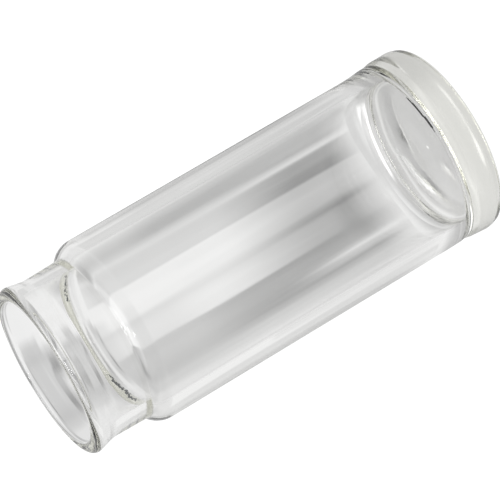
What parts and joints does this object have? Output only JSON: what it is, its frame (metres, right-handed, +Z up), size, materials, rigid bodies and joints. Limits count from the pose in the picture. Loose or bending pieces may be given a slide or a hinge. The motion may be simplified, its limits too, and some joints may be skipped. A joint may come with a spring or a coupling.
{
  "type": "guitar slide",
  "caption": "Clear glass guitar slide shaped like a small medicine bottle: cylindrical wall, narrower neck with a rolled lip, open mouth, thick closed heel.",
  "frame": {"origin": "middle of the flat ring under the heel, where the slide stands", "axes": "+Z up the slide's axis, from the closed heel to the open mouth; X and Y are any two directions across, because the slide is round"},
  "size_m": [0.0294, 0.0294, 0.0695],
  "materials": {
    "clear_glass": "fire-polished clear glass",
    "heel_glass": "fire-polished thick glass with a faint warm grey tint"
  },
  "bodies": {
    "root": {"tube": "clear_glass", "heel": "heel_glass"}
  },
  "joints": []
}
